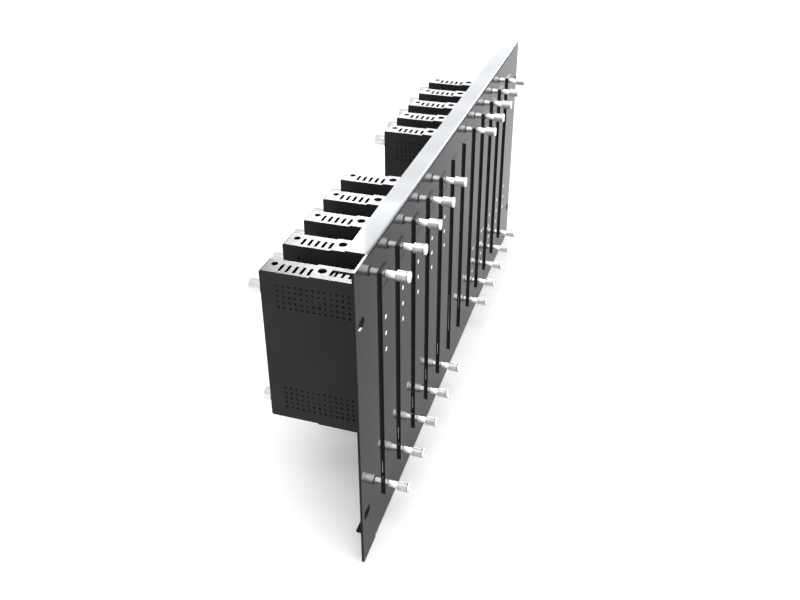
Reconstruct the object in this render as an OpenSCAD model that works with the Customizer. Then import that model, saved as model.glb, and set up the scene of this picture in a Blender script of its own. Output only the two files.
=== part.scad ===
// Rack panel with twelve plug-in bays, ten fitted modules and two blanked bays.
// Frame: +X to the right seen from the front, +Y to the rear, +Z up, millimetres.
// The origin is the centre of the rack slot pattern, on the panel's rear face.

/* [Panel] */
// Overall width of the rack panel
panel_w = 482.6; // [482.6]
// Overall height of the rack panel (five rack units less the standard gap)
panel_h = 221.5; // [221.5]
// Thickness of the panel sheet
sheet = 1.5; // [1.2:0.1:2]
// Depth of the folded lips, measured from the front face
lip_depth = 14; // [10:0.1:20]
// Distance from each panel end to the start of the lips
lip_inset = 23; // [18:0.5:24]
// Outside radius of the folds
fold_r = 2; // [1.6:0.1:3]
// Distance between the rack slots, left to right
slot_dx = 465.1; // [465.1]
// Distance between the rack slots, bottom to top
slot_dz = 146.05; // [146.05]
// End-to-end length of a rack slot
slot_l = 10.5; // [9:0.1:11]
// Height of a rack slot
slot_h = 7; // [6.5:0.1:7.5]

/* [Bays] */
// Distance from one bay to the next
pitch = 35.15; // [30:0.05:35.5]
// Width of a bay cut-out
cut_w = 16.2; // [16.2:0.1:18]
// Height of a bay cut-out
cut_h = 158.5; // [158.5:0.5:162]
// Height of the thumbscrews above and below the panel's middle
screw_z = 84.4; // [83.5:0.1:85]

/* [Faceplates] */
// Width of a faceplate strip
plate_w = 14.1; // [12:0.1:16]
// Height of a faceplate strip
plate_h = 177; // [176:0.5:180]
// Thickness of a faceplate strip
plate_t = 1.6; // [1:0.1:2]
// Diameter of a light pipe
pipe_d = 3; // [2:0.1:3.2]
// Height of the groove across a fitted faceplate
groove_z = 78; // [68:0.5:79]
// Distance of the light pipes from the faceplate's centre line
pipe_x = -0.9; // [-2:0.1:2]

/* [Modules] */
// Outside width of a module case
case_w = 15.6; // [14:0.1:15.8]
// Rear face of the module cases, measured from the panel's rear face
case_back = 77.4; // [76:0.1:90]
// Top of every module case above the panel's middle
case_top = 77.45; // [76:0.05:78]
// Bottom of the short module cases
short_bottom = -36.75; // [-38:0.05:-30]
// Bottom of the long module cases
long_bottom = -77.45; // [-78:0.05:-76]
// Sheet thickness of cases, covers and brackets
wall = 0.8; // [0.6:0.1:1]
// Rear end of the bracket flanges
bracket_back = 43.6; // [41:0.1:44]
// Diameter of a ventilation hole in the case sides
perf_d = 2.1; // [1.6:0.1:3]
// Distance between ventilation holes
perf_pitch = 4; // [3.6:0.1:4]

/* [Thumbscrews] */
// Diameter of the smooth shoulder
shoulder_d = 4.6; // [3.6:0.1:5]
// Length of the smooth shoulder
shoulder_l = 6.9; // [5:0.1:10]
// Diameter of the knob
knob_d = 6.8; // [6:0.1:9]
// Diameter of the rim at the knob's outer end
rim_d = 7.6; // [6.4:0.1:9.4]
// Length of the knob
knob_l = 8.6; // [6:0.1:12]

/* [Hidden] */
$fn = 48;
eps = 0.05;
first_x = -5.5 * pitch;
front = -sheet;                 // front face of the panel
plate_front = front - plate_t;  // front face of the faceplates
case_front = front + wall;      // front face of the cases
half_w = case_w / 2;
inner_x = half_w - wall;
pcb_x0 = -inner_x + 1.4;        // board on its spacers
pcb_t = 1.6;
pcb_x1 = pcb_x0 + pcb_t;
pipe_rows = [30, 42.1, 54.15];
stud_in = 12;                   // bracket studs, from the bracket's ends
coax_low_up = 10.75;            // lower coaxial socket above the case bottom
apron = 58;                     // lower end of a short module's apron, below the middle
vent_in = 17.1;                 // middle of a vent field, from the case's end
vent_mid = 41.6;                // middle of a vent field behind the panel

function bay_x(i) = first_x + pitch * (i - 1);
function is_long(i) = i > 6;
function case_bottom(i) = is_long(i) ? long_bottom : short_bottom;
function pipe_z(i, k) = is_long(i) ? -pipe_rows[k] : pipe_rows[k];
function pipe_off(i) = is_long(i) ? -pipe_x : pipe_x;
function coax_top(i) = is_long(i) ? 65.5 : 60.4;
function coax_low(i) = case_bottom(i) + coax_low_up;
function stud_zs(i) = [case_top + wall - stud_in, case_bottom(i) - wall + stud_in];
function board_zs(i) = [72.9, case_bottom(i) + 5];
board_ys = [7, 70];
FITTED = [1, 2, 3, 4, 5, 8, 9, 10, 11, 12];

BLACK = [0.17, 0.17, 0.18];
STEEL = [0.82, 0.82, 0.83];
GREEN = [0.05, 0.27, 0.14];
CLEAR = [0.93, 0.95, 0.97];

// A flat outline in the Y-Z plane, drawn along X from x0 to x1
module along_x(x0, x1) {
  translate([x0, 0, 0]) rotate([90, 0, 90]) linear_extrude(x1 - x0) children();
}

// A flat outline in the X-Z plane, drawn along Y from y0 to y1
module along_y(y0, y1) {
  translate([0, y1, 0]) rotate([90, 0, 0]) linear_extrude(y1 - y0) children();
}

// A round bar or bore along Y
module bar_y(x, z, y0, y1, d) {
  translate([x, y1, z]) rotate([90, 0, 0]) cylinder(d = d, h = y1 - y0);
}

// A round bar or bore along X
module bar_x(x0, x1, y, z, d) {
  translate([x0, y, z]) rotate([0, 90, 0]) cylinder(d = d, h = x1 - x0);
}

// Rectangle with round corners, from its lowest to its highest corner
module rounded(x0, y0, x1, y1, r) {
  translate([x0 + r, y0]) square([x1 - x0 - 2 * r, y1 - y0]);
  translate([x0, y0 + r]) square([x1 - x0, y1 - y0 - 2 * r]);
  for (x = [x0 + r, x1 - r], y = [y0 + r, y1 - r]) translate([x, y]) circle(r);
}

// Rectangle with round corners on its low-x side only
module rounded_left(x0, y0, x1, y1, r) {
  translate([x0 + r, y0]) square([x1 - x0 - r, y1 - y0]);
  translate([x0, y0 + r]) square([x1 - x0, y1 - y0 - 2 * r]);
  for (y = [y0 + r, y1 - r]) translate([x0 + r, y]) circle(r);
}

// Panel: a channel between plain ears, with bay cut-outs and rack slots
module front_panel() {
  ear = panel_w / 2 - lip_inset;
  color(BLACK) difference() {
    union() {
      along_x(-ear, ear) difference() {
        rounded_left(front, -panel_h / 2, front + lip_depth, panel_h / 2, fold_r);
        rounded_left(0, -panel_h / 2 + sheet, front + lip_depth + 1, panel_h / 2 - sheet, fold_r - sheet);
      }
      for (s = [0, 1]) mirror([s, 0, 0]) along_y(front, 0)
        rounded_left(-panel_w / 2, -panel_h / 2, -ear, panel_h / 2, 1.5);
    }
    for (i = [1:12]) {
      along_y(front - 1, 1) rounded(bay_x(i) - cut_w / 2, -cut_h / 2, bay_x(i) + cut_w / 2, cut_h / 2, 1);
      for (z = [-screw_z, screw_z]) bar_y(bay_x(i), z, front - 1, 1, (i == 6 || i == 7) ? 3.2 : 4.2);
    }
    for (x = [-slot_dx / 2, slot_dx / 2], z = [-slot_dz / 2, slot_dz / 2])
      along_y(front - 1, 1) translate([x, z]) {
        square([slot_l - slot_h, slot_h], center = true);
        for (s = [-1, 1]) translate([s * (slot_l - slot_h) / 2, 0]) circle(d = slot_h);
      }
  }
}

// Threaded inserts pressed into the panel behind each thumbscrew
module clinch_nuts() {
  color(STEEL) for (i = FITTED, z = [-screw_z, screw_z]) difference() {
    union() {
      bar_y(bay_x(i), z, front + 0.1, 0, 4.2);
      bar_y(bay_x(i), z, 0, 2.3, 6.4);
    }
    bar_y(bay_x(i), z, front - 1, 4, 3);
  }
}

// Captive thumbscrews: knob, smooth shoulder and threaded neck
module thumbscrews() {
  color(STEEL) for (i = FITTED, z = [-screw_z, screw_z])
    translate([bay_x(i), plate_front, z]) rotate([90, 0, 0]) rotate_extrude() polygon([
      [0, -7.7], [1.2, -7.7], [1.45, -7.4], [1.45, 0], [shoulder_d / 2, 0], [shoulder_d / 2, shoulder_l],
      [knob_d / 2 - 0.35, shoulder_l], [knob_d / 2, shoulder_l + 0.35],
      [knob_d / 2, shoulder_l + knob_l - 1.9], [rim_d / 2, shoulder_l + knob_l - 1.6],
      [rim_d / 2, shoulder_l + knob_l - 0.4], [rim_d / 2 - 0.4, shoulder_l + knob_l], [0, shoulder_l + knob_l]]);
}

module strip(i) {
  along_y(plate_front, front)
    rounded(bay_x(i) - plate_w / 2, -plate_h / 2, bay_x(i) + plate_w / 2, plate_h / 2, 0.4);
}

// Faceplate strip of a fitted bay
module faceplate(i) {
  color(BLACK) difference() {
    strip(i);
    for (z = [-screw_z, screw_z]) bar_y(bay_x(i), z, plate_front - 1, 0, 3.4);
    for (k = [0:2]) bar_y(bay_x(i) + pipe_off(i), pipe_z(i, k), plate_front - 1, 0, pipe_d + 0.1);
    translate([bay_x(i) - plate_w, plate_front - 1, groove_z - 0.5]) cube([2 * plate_w, 1.45, 1]);
  }
}

// Blank strip with two welded studs
module blank_plate(i) {
  color(BLACK) union() {
    strip(i);
    for (z = [-screw_z, screw_z]) bar_y(bay_x(i), z, front - 0.4, 5.5, 2.9);
  }
}

module blank_plate_nuts() {
  color(STEEL) for (i = [6, 7], z = [-screw_z, screw_z]) difference() {
    translate([bay_x(i), 2.4, z]) rotate([90, 0, 0]) cylinder(d = 6.35, h = 2.4, $fn = 6);
    bar_y(bay_x(i), z, -1, 4, 3);
  }
}

// Clear rods that carry the board's lamps to the faceplate
module light_pipes() {
  color(CLEAR) for (i = FITTED, k = [0:2])
    bar_y(bay_x(i) + pipe_off(i), pipe_z(i, k), plate_front - 0.1, 2.9, pipe_d);
}

// Outline of the comb-shaped switch opening, in the X-Y plane
module comb() {
  translate([1.2, 18.2]) square([2.7, 14.4]);
  for (y = [19.2, 23.9, 28.6, 31.6]) translate([-3.2, y - 1]) square([4.6, 2]);
}

// Openings in the top of a module
module top_openings(i, z0, z1) {
  translate([bay_x(i), 0, z0]) linear_extrude(z1 - z0) {
    comb();
    translate([1, 38.2]) circle(d = 5.8);
    translate([1.9, 70.8]) circle(d = 4.4);
    for (k = [0:4]) translate([-1.3, 45.5 + 4.85 * k]) {
      square([6.4, 2.1], center = true);
      for (s = [-3.2, 3.2]) translate([s, 0]) circle(d = 2.1);
    }
  }
}

// U-shaped bracket behind the faceplate that holds the front of the case
module bracket(i) {
  x = bay_x(i);
  zt = case_top + wall;
  zb = case_bottom(i) - wall;
  color(BLACK) difference() {
    union() {
      along_x(x - half_w, x + half_w) difference() {
        rounded_left(front, zb, bracket_back, zt, 1.2);
        rounded_left(case_front, zb + wall, bracket_back + 1, zt - wall, 0.4);
      }
      for (z = stud_zs(i)) bar_y(x, z, front + 0.2, 5.5, 2.9);
      // apron in the open lower part of the cut-out
      if (!is_long(i)) translate([x - half_w, front, -apron]) cube([case_w, wall, apron + zb + 2]);
    }
    top_openings(i, case_top - 1, case_top + 2);
    for (k = [0:2]) bar_y(x + pipe_off(i), pipe_z(i, k), front - 1, 1, pipe_d + 0.1);
  }
}

module bracket_nuts() {
  color(STEEL) for (i = FITTED, z = stud_zs(i)) difference() {
    translate([bay_x(i), case_front + wall + 2.4, z]) rotate([90, 0, 0]) cylinder(d = 6.35, h = 2.4, $fn = 6);
    bar_y(bay_x(i), z, -3, 4, 3);
  }
}

// Rows of ventilation holes in a case side
module vent_holes(i) {
  for (zc = [case_top - vent_in, case_bottom(i) + vent_in], c = [-6:6], r = [-2:2])
    translate([vent_mid + c * perf_pitch, zc + r * perf_pitch]) circle(d = perf_d, $fn = 16);
}

// Case tray, open on its right-hand side
module case_tray(i) {
  x = bay_x(i);
  zb = case_bottom(i);
  color(BLACK) difference() {
    union() {
      difference() {
        along_x(x - half_w, x + inner_x) rounded(case_front, zb, case_back, case_top, 1.2);
        along_x(x - inner_x, x + half_w)
          rounded(case_front + wall, zb + wall, case_back - wall, case_top - wall, 0.4);
      }
      for (y = board_ys, z = board_zs(i)) bar_x(x - half_w + 0.4, x + pcb_x0, y, z, 5);
    }
    along_x(x - half_w - 1, x - half_w + 2) vent_holes(i);
    for (y = board_ys, z = board_zs(i)) bar_x(x - inner_x, x + pcb_x0 + 1, y, z, 2.1);
    for (z = stud_zs(i)) bar_y(x, z, case_front - 1, 2, 3.2);
    for (k = [0:2]) bar_y(x + pipe_off(i), pipe_z(i, k), case_front - 1, 2, pipe_d + 0.1);
    for (z = [coax_top(i), coax_low(i)]) bar_y(x, z, case_back - 2, case_back + 1, 6.1);
    top_openings(i, case_top - 2, case_top + 1);
  }
}

// Case cover with two short inward flanges
module case_cover(i) {
  x = bay_x(i);
  zb = case_bottom(i);
  color(BLACK) difference() {
    union() {
      along_x(x + inner_x, x + half_w) rounded(case_front, zb, case_back, case_top, 1.2);
      for (z = [case_top - 2 * wall - eps, zb + wall + eps])
        translate([x + 4.7, 5, z]) cube([inner_x - 4.7 + eps, 66, wall]);
    }
    along_x(x + inner_x - 1, x + half_w + 1) vent_holes(i);
  }
}

// Circuit board with its soldered parts
module board(i) {
  x = bay_x(i);
  zb = case_bottom(i);
  color(GREEN) difference() {
    union() {
      translate([x + pcb_x0, 3.2, zb + 1.8]) cube([pcb_t, 71.6, 74.2 - zb]);
      // processor, memory and power parts
      translate([x + pcb_x1 - eps, 33, 10]) cube([1.6 + eps, 15, 15]);
      translate([x + pcb_x1 - eps, 54, 4]) cube([1.1 + eps, 12, 8]);
      translate([x + pcb_x1 - eps, 54, 18]) cube([1.1 + eps, 12, 8]);
      translate([x + pcb_x1 - eps, 14, 2]) cube([3.2 + eps, 8, 8]);
      translate([x + pcb_x1 - eps, 16, 30]) cube([1.4 + eps, 6, 5]);
      for (y = [14, 22, 30]) bar_x(x + pcb_x1 - eps, x + pcb_x1 + 6.5, y, zb + 14, 6.3);
      // bank of switches under the comb opening
      translate([x + pcb_x1 - eps, 17.4, 63]) cube([8.4 + eps, 16, 13.5]);
      // push button under the round opening
      translate([x + pcb_x1 - eps, 35, 64]) cube([8 + eps, 6.4, 9]);
      translate([x + 1, 38.2, 72.9]) cylinder(d = 5, h = 3.2);
      // lamps behind the light pipes
      for (k = [0:2]) translate([x + pcb_x1 - eps, 3.2, pipe_z(i, k) - 1.6]) cube([5 + eps, 3.6, 3.2]);
      // tails of the coaxial sockets
      for (z = [coax_top(i), coax_low(i)]) translate([x + pcb_x1 - eps, 68.4, z - 2.2]) cube([3.4 + eps, 6.8, 4.4]);
    }
    for (y = board_ys, z = board_zs(i)) bar_x(x + pcb_x0 - 1, x + pcb_x1 + 1, y, z, 2.7);
  }
}

module board_screws() {
  color(STEEL) for (i = FITTED, y = board_ys, z = board_zs(i)) {
    bar_x(bay_x(i) + pcb_x1, bay_x(i) + pcb_x1 + 1.5, y, z, 4.5);
    bar_x(bay_x(i) - inner_x + 0.2, bay_x(i) + pcb_x1 + 0.1, y, z, 2);
  }
}

// Coaxial sockets on the rear of each case: barrel, insulator face and centre contact
module coax_socket(x, z, l) {
  difference() {
    union() {
      bar_y(x, z, case_back - wall - 1.2, case_back + 0.5, 6);
      translate([x, case_back, z]) rotate([-90, 0, 0]) cylinder(d = 8.9, h = l - 0.4);
      translate([x, case_back + l - 0.4, z]) rotate([-90, 0, 0]) cylinder(d1 = 8.9, d2 = 8.1, h = 0.4);
    }
    bar_y(x, z, case_back + l - 0.7, case_back + l + 1, 7.3);
    bar_y(x, z, case_back + l - 5, case_back + l + 1, 1.6);
  }
}

module coax_sockets() {
  color(STEEL) for (i = FITTED) {
    coax_socket(bay_x(i), coax_top(i), 10.7);
    coax_socket(bay_x(i), coax_low(i), 7.6);
  }
}

front_panel();
clinch_nuts();
thumbscrews();
blank_plate(6);  // bay06_blank_plate
blank_plate(7);  // bay07_blank_plate
blank_plate_nuts();
light_pipes();
bracket_nuts();
board_screws();
coax_sockets();
faceplate(1);  // bay01_faceplate
bracket(1);  // bay01_bracket
case_tray(1);  // bay01_case
case_cover(1);  // bay01_cover
board(1);  // bay01_board
faceplate(2);  // bay02_faceplate
bracket(2);  // bay02_bracket
case_tray(2);  // bay02_case
case_cover(2);  // bay02_cover
board(2);  // bay02_board
faceplate(3);  // bay03_faceplate
bracket(3);  // bay03_bracket
case_tray(3);  // bay03_case
case_cover(3);  // bay03_cover
board(3);  // bay03_board
faceplate(4);  // bay04_faceplate
bracket(4);  // bay04_bracket
case_tray(4);  // bay04_case
case_cover(4);  // bay04_cover
board(4);  // bay04_board
faceplate(5);  // bay05_faceplate
bracket(5);  // bay05_bracket
case_tray(5);  // bay05_case
case_cover(5);  // bay05_cover
board(5);  // bay05_board
faceplate(8);  // bay08_faceplate
bracket(8);  // bay08_bracket
case_tray(8);  // bay08_case
case_cover(8);  // bay08_cover
board(8);  // bay08_board
faceplate(9);  // bay09_faceplate
bracket(9);  // bay09_bracket
case_tray(9);  // bay09_case
case_cover(9);  // bay09_cover
board(9);  // bay09_board
faceplate(10);  // bay10_faceplate
bracket(10);  // bay10_bracket
case_tray(10);  // bay10_case
case_cover(10);  // bay10_cover
board(10);  // bay10_board
faceplate(11);  // bay11_faceplate
bracket(11);  // bay11_bracket
case_tray(11);  // bay11_case
case_cover(11);  // bay11_cover
board(11);  // bay11_board
faceplate(12);  // bay12_faceplate
bracket(12);  // bay12_bracket
case_tray(12);  // bay12_case
case_cover(12);  // bay12_cover
board(12);  // bay12_board
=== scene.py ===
import bpy, bmesh, math
from mathutils import Matrix, Vector


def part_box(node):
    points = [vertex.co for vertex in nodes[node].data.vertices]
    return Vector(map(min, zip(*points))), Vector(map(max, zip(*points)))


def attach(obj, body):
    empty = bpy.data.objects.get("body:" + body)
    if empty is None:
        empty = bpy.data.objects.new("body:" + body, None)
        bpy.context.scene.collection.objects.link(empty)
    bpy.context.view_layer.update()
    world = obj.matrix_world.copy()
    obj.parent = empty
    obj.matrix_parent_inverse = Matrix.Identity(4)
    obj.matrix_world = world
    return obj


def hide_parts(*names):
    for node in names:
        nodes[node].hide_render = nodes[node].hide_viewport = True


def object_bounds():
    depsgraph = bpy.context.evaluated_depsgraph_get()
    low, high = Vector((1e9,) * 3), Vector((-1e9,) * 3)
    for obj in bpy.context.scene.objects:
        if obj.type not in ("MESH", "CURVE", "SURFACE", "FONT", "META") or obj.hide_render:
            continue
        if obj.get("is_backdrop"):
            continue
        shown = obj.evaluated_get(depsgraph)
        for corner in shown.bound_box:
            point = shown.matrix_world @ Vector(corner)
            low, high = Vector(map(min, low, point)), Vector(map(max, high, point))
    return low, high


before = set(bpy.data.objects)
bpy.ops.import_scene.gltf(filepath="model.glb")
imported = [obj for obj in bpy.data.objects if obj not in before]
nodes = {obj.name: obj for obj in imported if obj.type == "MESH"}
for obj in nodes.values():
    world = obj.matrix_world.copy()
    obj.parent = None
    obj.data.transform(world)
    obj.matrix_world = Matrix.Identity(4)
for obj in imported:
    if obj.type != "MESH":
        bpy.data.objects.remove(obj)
cad_lo, cad_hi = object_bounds()
scene = bpy.context.scene
scene.view_settings.view_transform = "Standard"
scene.view_settings.look = "None"

FITTED = [1, 2, 3, 4, 5, 8, 9, 10, 11, 12]
PITCH = 0.03515


def bay_x(i):
    return PITCH * (i - 6.5)


# ---------------------------------------------------------------- materials
class Mat:
    """A material with its shader and small helpers for adding nodes."""

    def __init__(self, name, **values):
        self.m = bpy.data.materials.new(name)
        self.m.use_nodes = True
        self.t = self.m.node_tree
        self.bsdf = self.t.nodes["Principled BSDF"]
        for k, v in values.items():
            self.bsdf.inputs[k.replace("_", " ")].default_value = v

    def node(self, kind, **attrs):
        n = self.t.nodes.new(kind)
        for k, v in attrs.items():
            setattr(n, k, v)
        return n

    def link(self, a, b):
        self.t.links.new(a, b)

    def coords(self, scale=(1, 1, 1)):
        tc = self.node("ShaderNodeTexCoord")
        mp = self.node("ShaderNodeMapping")
        mp.inputs["Scale"].default_value = scale
        self.link(tc.outputs["Object"], mp.inputs["Vector"])
        return mp.outputs["Vector"]

    def noise(self, scale, detail=2.0, rough=0.5, stretch=(1, 1, 1)):
        n = self.node("ShaderNodeTexNoise")
        n.inputs["Scale"].default_value = scale
        n.inputs["Detail"].default_value = detail
        n.inputs["Roughness"].default_value = rough
        self.link(self.coords(stretch), n.inputs["Vector"])
        return n.outputs["Fac"]

    def ramp(self, fac, stops):
        r = self.node("ShaderNodeValToRGB")
        els = r.color_ramp.elements
        while len(els) < len(stops):
            els.new(0.5)
        for e, (p, c) in zip(els, stops):
            e.position = p
            e.color = (*c, 1) if len(c) == 3 else c
        self.link(fac, r.inputs["Fac"])
        return r.outputs["Color"]

    def span(self, fac, lo, hi, a=0.3, b=0.7):
        r = self.node("ShaderNodeMapRange")
        r.inputs["From Min"].default_value = a
        r.inputs["From Max"].default_value = b
        r.inputs["To Min"].default_value = lo
        r.inputs["To Max"].default_value = hi
        self.link(fac, r.inputs["Value"])
        return r.outputs["Result"]

    def bump(self, height, strength, distance, normal=None):
        b = self.node("ShaderNodeBump")
        b.inputs["Strength"].default_value = strength
        b.inputs["Distance"].default_value = distance
        self.link(height, b.inputs["Height"])
        if normal is not None:
            self.link(normal, b.inputs["Normal"])
        return b.outputs["Normal"]

    def to(self, out, socket):
        self.link(out, self.bsdf.inputs[socket])


def paint(name, dark, light, rough_lo, rough_hi, ior, grain, grain_mm, peel_mm, top_highlight=None):
    """Black paint: a faint mottle, uneven gloss and a fine grain over a slight orange peel.
    The last argument is a lighter tone painted on faces looking straight up: a painted highlight for the light those
    tops catch."""
    m = Mat(name, IOR=ior)
    colour = m.ramp(m.noise(35, 4, 0.6), [(0.3, dark), (0.7, light)])
    # faces looking straight up are blended to a lighter tone, a painted highlight for the light falling on them
    if top_highlight:
        up = m.node("ShaderNodeSeparateXYZ")
        m.link(m.node("ShaderNodeTexCoord").outputs["Normal"], up.inputs[0])
        mix = m.node("ShaderNodeMix", data_type="RGBA")
        m.link(m.span(up.outputs["Z"], 0, 1, 0.85, 0.98), mix.inputs[0])
        m.link(colour, mix.inputs[6])
        mix.inputs[7].default_value = (top_highlight, top_highlight, top_highlight, 1)
        colour = mix.outputs[2]
    m.to(colour, "Base Color")
    m.to(m.span(m.noise(60, 5, 0.65), rough_lo, rough_hi), "Roughness")
    peel = m.bump(m.noise(420, 1, 0.4), 0.35, peel_mm * 1e-3)
    m.to(m.bump(m.noise(grain, 2, 0.55), 0.6, grain_mm * 1e-3, peel), "Normal")
    return m.m


def turned(name, dark, light, rough_lo, rough_hi, ring):
    """Turned metal: fine rings round the Y axis, under a satin finish."""
    m = Mat(name, Metallic=1.0)
    rings = m.noise(1.0, 3, 0.6, (40, ring, 40))
    m.to(m.ramp(rings, [(0.3, dark), (0.7, light)]), "Base Color")
    m.to(m.span(rings, rough_lo, rough_hi), "Roughness")
    m.to(m.bump(rings, 0.25, 0.00002), "Normal")
    return m.m


PANEL = paint("panel_paint", (0.0155, 0.0152, 0.0155), (0.0185, 0.0181, 0.0185), 0.045, 0.075, 1.096, 2600, 0.0006, 0.0010)
# the last value is the lighter tone painted on the plates' upward faces, a painted highlight
PLATE = paint("plate_paint", (0.0155, 0.0152, 0.0155), (0.0185, 0.0181, 0.0185), 0.045, 0.075, 1.096, 2600, 0.0006, 0.0010, 0.075)
CASE = paint("case_paint", (0.0212, 0.0212, 0.0214), (0.0250, 0.0250, 0.0254), 0.20, 0.28, 1.12, 2200, 0.003, 0.002)
SATIN = turned("satin_aluminium", (0.56, 0.56, 0.555), (0.66, 0.66, 0.655), 0.30, 0.38, 9000)
NICKEL = turned("satin_nickel", (0.60, 0.60, 0.60), (0.72, 0.72, 0.718), 0.24, 0.34, 7000)


def zinc():
    m = Mat("zinc_plate", Metallic=1.0)
    m.to(m.ramp(m.noise(900, 4, 0.6), [(0.3, (0.55, 0.56, 0.58)), (0.7, (0.72, 0.72, 0.73))]), "Base Color")
    m.to(m.span(m.noise(1500, 3, 0.6), 0.26, 0.42), "Roughness")
    m.to(m.bump(m.noise(3500, 2, 0.5), 0.3, 0.00001), "Normal")
    return m.m


def lens():
    m = Mat("frosted_clear", IOR=1.49)
    m.to(m.ramp(m.noise(1800, 3, 0.6), [(0.3, (0.90, 0.92, 0.94)), (0.7, (0.96, 0.97, 0.98))]), "Base Color")
    m.to(m.span(m.noise(2500, 3, 0.6), 0.22, 0.4), "Roughness")
    return m.m


def plastic(name, dark, light, rough_lo, rough_hi, scale=1200, stretch=(1, 1, 1)):
    """Moulded plastic or lacquer: faint mottle, uneven gloss, fine texture."""
    m = Mat(name, IOR=1.46)
    m.to(m.ramp(m.noise(scale, 3, 0.6, stretch), [(0.35, dark), (0.65, light)]), "Base Color")
    m.to(m.span(m.noise(scale * 1.4, 3, 0.6), rough_lo, rough_hi), "Roughness")
    m.to(m.bump(m.noise(scale * 2.5, 2, 0.5), 0.3, 0.000008), "Normal")
    return m.m


ZINC, LENS = zinc(), lens()
MASK = plastic("solder_mask", (0.155, 0.215, 0.165), (0.195, 0.260, 0.205), 0.35, 0.5, 700, (1, 1, 5))
CHIP = plastic("chip_black", (0.016, 0.016, 0.017), (0.024, 0.024, 0.025), 0.45, 0.6)
WHITE = plastic("insulator_white", (0.70, 0.70, 0.68), (0.80, 0.80, 0.78), 0.35, 0.5)
SLEEVE = plastic("capacitor_sleeve", (0.012, 0.018, 0.040), (0.018, 0.026, 0.055), 0.3, 0.4)
FERRITE = plastic("ferrite_grey", (0.055, 0.055, 0.057), (0.085, 0.085, 0.088), 0.6, 0.75)
TIN = turned("tinned", (0.66, 0.66, 0.65), (0.76, 0.76, 0.75), 0.3, 0.45, 3000)
GOLD = turned("gilt_contact", (0.72, 0.52, 0.24), (0.80, 0.60, 0.30), 0.22, 0.32, 6000)


def dress(o, mat):
    o.data.materials.clear()
    o.data.materials.append(mat)


LOOKS = {
    "front_panel": PANEL, "clinch_nuts": ZINC, "thumbscrews": SATIN, "blank_plate_nuts": ZINC,
    "light_pipes": LENS, "bracket_nuts": ZINC, "board_screws": ZINC, "coax_sockets": NICKEL,
}
KINDS = {"faceplate": PLATE, "blank_plate": PLATE, "bracket": CASE, "case": CASE, "cover": CASE, "board": MASK}
for n, o in nodes.items():
    dress(o, LOOKS[n] if n in LOOKS else KINDS[n[6:]])


# ---------------------------------------------------------------- edges of the sheet parts
def soften(o, width, angle=40):
    """A small bevel on the sharp edges of a CAD node, kept inside its own faces."""
    b = o.modifiers.new("edge", "BEVEL")
    b.width = width
    b.segments = 2
    b.limit_method = "ANGLE"
    b.angle_limit = math.radians(angle)
    b.use_clamp_overlap = True
    b.harden_normals = False


# ---------------------------------------------------------------- pieces
def piece(name, bm, mats, node, smooth_angle=35):
    bmesh.ops.recalc_face_normals(bm, faces=bm.faces)
    limit = math.radians(smooth_angle)
    for f in bm.faces:
        f.smooth = True
    for e in bm.edges:
        if len(e.link_faces) == 2 and e.calc_face_angle() > limit:
            e.smooth = False
    me = bpy.data.meshes.new(name)
    bm.to_mesh(me)
    bm.free()
    for m in mats:
        me.materials.append(m)
    o = bpy.data.objects.new(name, me)
    scene.collection.objects.link(o)
    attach(o, "root")
    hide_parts(node)
    return o


def lathe(bm, x, y0, z, way, profile, seg, mat=0, ribs=None):
    """A turned shape about a line along Y. profile is (radius, distance from y0 along way) from end to end,
    closed by a point at each end; ribs gives how deep every other vertex of a ring sinks, ring by ring."""
    rings = []
    for k, (r, d) in enumerate(profile):
        y = y0 + way * d
        if r == 0:
            rings.append([bm.verts.new((x, y, z))])
            continue
        sink = ribs[k] if ribs else 0
        ring = []
        for j in range(seg):
            t = 2 * math.pi * j / seg
            q = r - (sink if j % 2 else 0)
            ring.append(bm.verts.new((x + q * math.cos(t), y, z + q * math.sin(t))))
        rings.append(ring)
    for a, b in zip(rings, rings[1:]):
        for j in range(seg):
            k = (j + 1) % seg
            if len(a) == 1:
                f = bm.faces.new((a[0], b[j], b[k]))
            elif len(b) == 1:
                f = bm.faces.new((a[j], a[k], b[0]))
            else:
                f = bm.faces.new((a[j], a[k], b[k], b[j]))
            f.material_index = mat


def block(bm, lo, hi, mat=0, chamfer=0.00015):
    """A box between two corners, with its edges chamfered."""
    part = bmesh.new()
    bmesh.ops.create_cube(part, size=1.0)
    for v in part.verts:
        v.co = Vector(((lo[k] + hi[k]) / 2 + v.co[k] * (hi[k] - lo[k])) for k in range(3))
    bmesh.ops.bevel(part, geom=part.edges[:], offset=chamfer, segments=1, affect="EDGES", profile=0.5)
    for f in part.faces:
        f.material_index = mat
    me = bpy.data.meshes.new("tmp")
    part.to_mesh(me)
    part.free()
    bm.from_mesh(me)
    bpy.data.meshes.remove(me)


MM = 0.001
strip_lo, strip_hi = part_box("bay01_faceplate")
case_lo, case_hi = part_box("bay01_case")
screw_lo, screw_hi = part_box("thumbscrews")
socket_lo, socket_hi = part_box("coax_sockets")
plate_front = strip_lo.y
case_back = case_hi.y
SCREW_Z = screw_hi.z - 3.8 * MM
RIM, KNOB, SHANK = 3.68 * MM, 3.45 * MM, 2.3 * MM
SHANK_L = 6.9 * MM
KNOB_L = (plate_front - screw_lo.y) - SHANK_L


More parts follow.
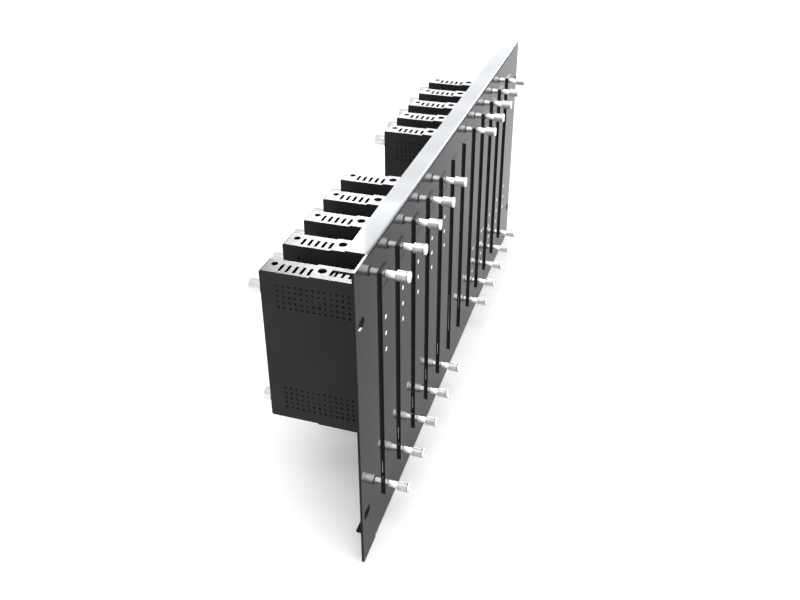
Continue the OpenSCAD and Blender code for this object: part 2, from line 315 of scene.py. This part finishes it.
def thumbscrew(bm, x, z):
    s, t = SHANK_L, SHANK_L + KNOB_L
    prof = [(0, -7.7 * MM), (1.2 * MM, -7.7 * MM)]
    ribs = [0, 0]
    # grooved neck, behind the faceplate
    for k in range(5):
        d = (-7.3 + 1.45 * k) * MM
        prof += [(1.45 * MM, d), (1.28 * MM, d + 0.7 * MM)]
        ribs += [0, 0]
    prof += [(1.4 * MM, 0), (SHANK - 0.15 * MM, 0), (SHANK, 0.15 * MM), (SHANK, s - 0.25 * MM), (SHANK - 0.12 * MM, s),
             (KNOB - 0.30 * MM, s), (KNOB - 0.04 * MM, s + 0.3 * MM)]
    ribs += [0] * 7
    # straight fine knurl along the head, then a plain rim
    edge = t - 1.9 * MM
    prof += [(KNOB, s + 0.6 * MM), (KNOB, edge - 0.3 * MM), (KNOB - 0.04 * MM, edge),
             (RIM - 0.02 * MM, t - 1.6 * MM), (RIM, t - 1.5 * MM), (RIM, t - 0.4 * MM),
             (RIM - 0.12 * MM, t - 0.16 * MM), (RIM - 0.4 * MM, t), (RIM - 1.1 * MM, t), (RIM - 1.3 * MM, t - 0.2 * MM), (0, t - 0.2 * MM)]
    ribs += [0.09 * MM, 0.09 * MM] + [0] * 9
    lathe(bm, x, plate_front, z, -1, prof, 80, 0, ribs)


bm = bmesh.new()
for i in FITTED:
    for z in (-SCREW_Z, SCREW_Z):
        thumbscrew(bm, bay_x(i), z)
screws = piece("thumbscrews_turned", bm, [SATIN], "thumbscrews", 28)


def socket(bm, x, z, length):
    r = 4.45 * MM
    lathe(bm, x, case_back, z, 1, [
        (0, -2 * MM), (2.9 * MM, -2 * MM), (2.95 * MM, 0.1 * MM), (r - 0.25 * MM, 0.02 * MM), (r, 0.25 * MM),
        (r, 1.5 * MM), (r - 0.12 * MM, 1.65 * MM), (r - 0.12 * MM, 1.95 * MM), (r, 2.1 * MM),
        (r, length - 0.4 * MM), (r - 0.1 * MM, length - 0.15 * MM), (r - 0.38 * MM, length), (3.75 * MM, length), (3.66 * MM, length - 0.1 * MM),
        (3.66 * MM, length - 0.68 * MM), (0, length - 0.69 * MM)], 72, 0)
    lathe(bm, x, case_back, z, 1, [
        (0, length - 0.66 * MM), (3.6 * MM, length - 0.66 * MM), (3.55 * MM, length - 0.58 * MM), (1.5 * MM, length - 0.56 * MM),
        (1.3 * MM, length - 0.50 * MM), (0.95 * MM, length - 0.50 * MM), (0, length - 0.60 * MM)], 48, 1)
    lathe(bm, x, case_back, z, 1, [
        (0, length - 0.62 * MM), (0.9 * MM, length - 0.62 * MM), (0.9 * MM, length - 0.42 * MM), (0.62 * MM, length - 0.40 * MM),
        (0.55 * MM, length - 0.50 * MM), (0, length - 0.60 * MM)], 32, 2)


bm = bmesh.new()
for i in FITTED:
    lo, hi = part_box("bay%02d_case" % i)
    socket(bm, bay_x(i), (65.5 if i > 6 else 60.4) * MM, 10.7 * MM)
    socket(bm, bay_x(i), lo.z + 10.75 * MM, 7.6 * MM)
sockets = piece("coax_sockets_turned", bm, [NICKEL, WHITE, GOLD], "coax_sockets", 30)


def board(i):
    """Circuit board: laminate, processor, memories, inductor, capacitors, switches, push button, lamps and socket tails."""
    x = bay_x(i)
    lo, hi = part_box("bay%02d_case" % i)
    zb = lo.z / MM
    x0 = x / MM - 7.0 + 1.4
    x1 = x0 + 1.6
    MASKI, CHIPI, LEAD, CAP, COIL, LAMP = range(6)
    bm = bmesh.new()

    def b(ax, ay, az, bx, by, bz, m, c=0.12):
        block(bm, (ax * MM, ay * MM, az * MM), (bx * MM, by * MM, bz * MM), m, c * MM)

    b(x0, 3.2, zb + 1.8, x1, 74.8, 76, MASKI, 0.08)
    # processor with its leads on four sides
    b(x1 + 0.1, 33.6, 10.6, x1 + 1.6, 47.4, 24.4, CHIPI, 0.25)
    for k in range(16):
        q = 11.6 + 0.78 * k
        b(x1, 33.05, q, x1 + 0.8, 33.7, q + 0.35, LEAD, 0.05)
        b(x1, 47.3, q, x1 + 0.8, 47.95, q + 0.35, LEAD, 0.05)
    for k in range(16):
        q = 34.6 + 0.78 * k
        b(x1, q, 10.05, x1 + 0.8, q + 0.35, 10.7, LEAD, 0.05)
        b(x1, q, 24.3, x1 + 0.8, q + 0.35, 24.95, LEAD, 0.05)
    # two memories
    for z in (4, 18):
        b(x1 + 0.1, 54.7, z + 0.1, x1 + 1.1, 65.3, z + 7.9, CHIPI, 0.2)
        for k in range(8):
            q = z + 0.5 + 0.95 * k
            b(x1, 54.05, q, x1 + 0.6, 54.8, q + 0.4, LEAD, 0.05)
            b(x1, 65.2, q, x1 + 0.6, 65.95, q + 0.4, LEAD, 0.05)
    # inductor and regulator
    b(x1, 14.1, 2.1, x1 + 3.2, 21.9, 9.9, COIL, 0.8)
    b(x1, 16.1, 30.1, x1 + 1.4, 21.9, 34.9, CHIPI, 0.2)
    # three can capacitors lying on the board's face
    for y in (14, 22, 30):
        part = bmesh.new()
        bmesh.ops.create_cone(part, cap_ends=True, segments=36, radius1=3.1 * MM, radius2=3.1 * MM, depth=6.4 * MM)
        bmesh.ops.bevel(part, geom=[e for e in part.edges if abs(e.verts[0].co.z - e.verts[1].co.z) < 1e-7], offset=0.35 * MM, segments=2, affect="EDGES")
        for f in part.faces:
            f.material_index = LEAD if f.normal.z > 0.9 else CAP
        bmesh.ops.transform(part, verts=part.verts, matrix=Matrix.Translation(((x1 + 3.25) * MM, y * MM, (zb + 14) * MM)) @ Matrix.Rotation(math.pi / 2, 4, "Y"))
        me = bpy.data.meshes.new("tmp")
        part.to_mesh(me)
        part.free()
        bm.from_mesh(me)
        bpy.data.meshes.remove(me)
    # small chip parts scattered in rows
    for k in range(9):
        y = 25.0 + 4.6 * k
        b(x1, y, 40, x1 + 0.55, y + 1.6, 40.8, COIL, 0.08)
        b(x1, y, 52, x1 + 0.45, y + 2.0, 53.2, CHIPI, 0.08)
    # bank of switches and its levers, under the comb opening
    b(x1, 17.4, 63, x1 + 8.2, 33.4, 75.2, CHIPI, 0.3)
    for y in (19.2, 23.9, 28.6, 31.6):
        b(x1 + 1.2, y - 0.7, 75.0, x1 + 6.8, y + 0.7, 75.8, COIL, 0.1)
    # push button, under the round opening
    b(x1, 35, 64, x1 + 8, 41.4, 73, CHIPI, 0.3)
    part = bmesh.new()
    bmesh.ops.create_cone(part, cap_ends=True, segments=40, radius1=2.5 * MM, radius2=2.5 * MM, depth=3.1 * MM)
    bmesh.ops.bevel(part, geom=[e for e in part.edges if e.verts[0].co.z > 0 and e.verts[1].co.z > 0], offset=0.5 * MM, segments=3, affect="EDGES")
    for f in part.faces:
        f.material_index = CHIPI
    bmesh.ops.transform(part, verts=part.verts, matrix=Matrix.Translation((x + 1 * MM, 38.2 * MM, 74.5 * MM)))
    me = bpy.data.meshes.new("tmp")
    part.to_mesh(me)
    part.free()
    bm.from_mesh(me)
    bpy.data.meshes.remove(me)
    # lamps behind the light pipes, and the tails of the sockets
    for z in (30, 42.1, 54.15):
        q = -z if i > 6 else z
        b(x1, 3.3, q - 1.5, x1 + 4.9, 6.7, q + 1.5, LAMP, 0.4)
    for q in ((65.5 if i > 6 else 60.4), zb + 10.75):
        b(x1, 68.4, q - 2.2, x1 + 3.4, 75.2, q + 2.2, LEAD, 0.3)
    name = "bay%02d_board" % i
    piece(name + "_detailed", bm, [MASK, CHIP, TIN, SLEEVE, FERRITE, WHITE], name, 30)


for i in FITTED:
    board(i)
    soften(nodes["bay%02d_faceplate" % i], 0.00015)
for n in ("bay06_blank_plate", "bay07_blank_plate", "front_panel"):
    soften(nodes[n], 0.00015)

# ---------------------------------------------------------------- floor
floor_z = cad_lo.z - 0.0002
bm = bmesh.new()
rings, spokes = [0.0, 0.4, 0.8, 1.6, 3.2, 6.4, 14.0], 64
prev = None
for r in rings:
    ring = [bm.verts.new((r * math.cos(2 * math.pi * k / spokes), r * math.sin(2 * math.pi * k / spokes), floor_z)) for k in range(spokes)] if r else [bm.verts.new((0, 0, floor_z))]
    if prev is not None:
        for k in range(spokes):
            a, b = ring[k], ring[(k + 1) % spokes]
            if len(prev) == 1:
                bm.faces.new((prev[0], a, b))
            else:
                bm.faces.new((prev[k], a, b, prev[(k + 1) % spokes]))
    prev = ring
me = bpy.data.meshes.new("floor")
bm.to_mesh(me)
floor = bpy.data.objects.new("floor", me)
scene.collection.objects.link(floor)
FLOOR = Mat("floor_white", Roughness=0.9)
FLOOR.to(FLOOR.ramp(FLOOR.noise(3, 2, 0.5), [(0.3, (0.90, 0.90, 0.905)), (0.7, (0.93, 0.93, 0.935))]), "Base Color")
FLOOR.bsdf.inputs["Specular IOR Level"].default_value = 0.2
me.materials.append(FLOOR.m)
floor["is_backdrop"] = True

# ---------------------------------------------------------------- light
world = bpy.data.worlds.new("studio")
scene.world = world
world.use_nodes = True
bg = world.node_tree.nodes["Background"]
bg.inputs["Color"].default_value = (1, 1, 1, 1)
bg.inputs["Strength"].default_value = 1.06


def area(name, at, aim, w, h, radiance, colour=(1, 1, 1)):
    d = bpy.data.lights.new(name, "AREA")
    d.shape = "RECTANGLE"
    d.size, d.size_y = w, h
    d.energy = radiance * math.pi * w * h
    d.color = colour
    o = bpy.data.objects.new(name, d)
    scene.collection.objects.link(o)
    o.location = at
    o.rotation_euler = (Vector(aim) - Vector(at)).to_track_quat("-Z", "Y").to_euler()
    o.visible_camera = False
    return o


def far(name, az, el, wide, high, radiance, colour, dist=6.0):
    """A card of light in the direction az from +X towards +Y and el above the horizon, spanning those angles."""
    a, e = math.radians(az), math.radians(el)
    at = (dist * math.cos(e) * math.cos(a), dist * math.cos(e) * math.sin(a), dist * math.sin(e))
    w, h = 2 * dist * math.tan(math.radians(wide / 2)), 2 * dist * math.tan(math.radians(high / 2))
    return area(name, at, (0, 0, 0), w, h, radiance, colour)


COOL = (0.94, 0.965, 1.0)


def only(name, state, pieces):
    """Pieces taken into a card's light or left out of it."""
    c = bpy.data.collections.new(name)
    for o in pieces:
        c.objects.link(o)
    for entry in c.collection_objects:
        entry.light_linking.link_state = state
    return c


NOT_METAL, METAL = only("not_metal", "EXCLUDE", (screws, sockets)), only("metal", "INCLUDE", (screws,))
# the tops mirror less the higher they look, so the cards grow brighter with their height
steps = [("back_%02d" % k, 10, 9 + 2 * k, 38, 2.0, 7.4 * math.exp(0.1145 * (9 + 2 * k - 12.8))) for k in range(10)]
for name, az, el, wide, high, radiance in steps + [
        ("back_high", 8, 33, 28, 10, 52), ("back_edge", 25.5, 32, 7, 13, 62), ("front_card", -17, 24, 34, 28, 38)]:
    card = far(name, az, el, wide, high, radiance, COOL)
    card.visible_diffuse = False
    card.light_linking.receiver_collection = NOT_METAL


def arch(name, turn, lean, long, wide, radiance, colour, dist=6.0):
    """A card of light on an arch over the part, turn degrees up from +X and leaning lean degrees to the front."""
    t, s = math.radians(turn), math.radians(lean)
    z = Vector((math.cos(s) * math.cos(t), -math.sin(s), math.cos(s) * math.sin(t)))
    y = Vector((-math.sin(t), 0, math.cos(t)))
    x = y.cross(z)
    o = area(name, z * dist, (0, 0, 0), 2 * dist * math.tan(math.radians(wide / 2)), 2 * dist * math.tan(math.radians(long / 2)), radiance, colour)
    o.matrix_world = Matrix([[x[k], y[k], z[k], (z * dist)[k]] for k in range(3)] + [[0, 0, 0, 1]])
    return o


for k, turn in enumerate((20, 55, 90, 125, 160)):
    card = arch("arch_%d" % k, turn, 30, 35, 30, 11, COOL)
    card.visible_diffuse = False
    card.light_linking.receiver_collection = METAL
area("top_light", (-0.5, -0.3, 2.35), (0, 0, 0), 2.2, 2.2, 2.9)

# ---------------------------------------------------------------- camera
cam_data = bpy.data.cameras.new("camera")
cam = bpy.data.objects.new("camera", cam_data)
scene.collection.objects.link(cam)
scene.camera = cam
cam_data.sensor_width = 36
cam_data.lens = 836.83 * 36 / 800
cam_data.shift_x, cam_data.shift_y = 0.0, -0.08
right, down, fwd = (0.30111, -0.95358, -0.00443), (-0.45336, -0.13907, -0.88041), (0.83893, 0.2671, -0.47419)
pos = (-0.59943, -0.14151, 0.34075)
cam.matrix_world = Matrix([[right[k], -down[k], -fwd[k], pos[k]] for k in range(3)] + [[0, 0, 0, 1]])
cam_data.clip_start, cam_data.clip_end = 0.01, 60

lo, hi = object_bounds()
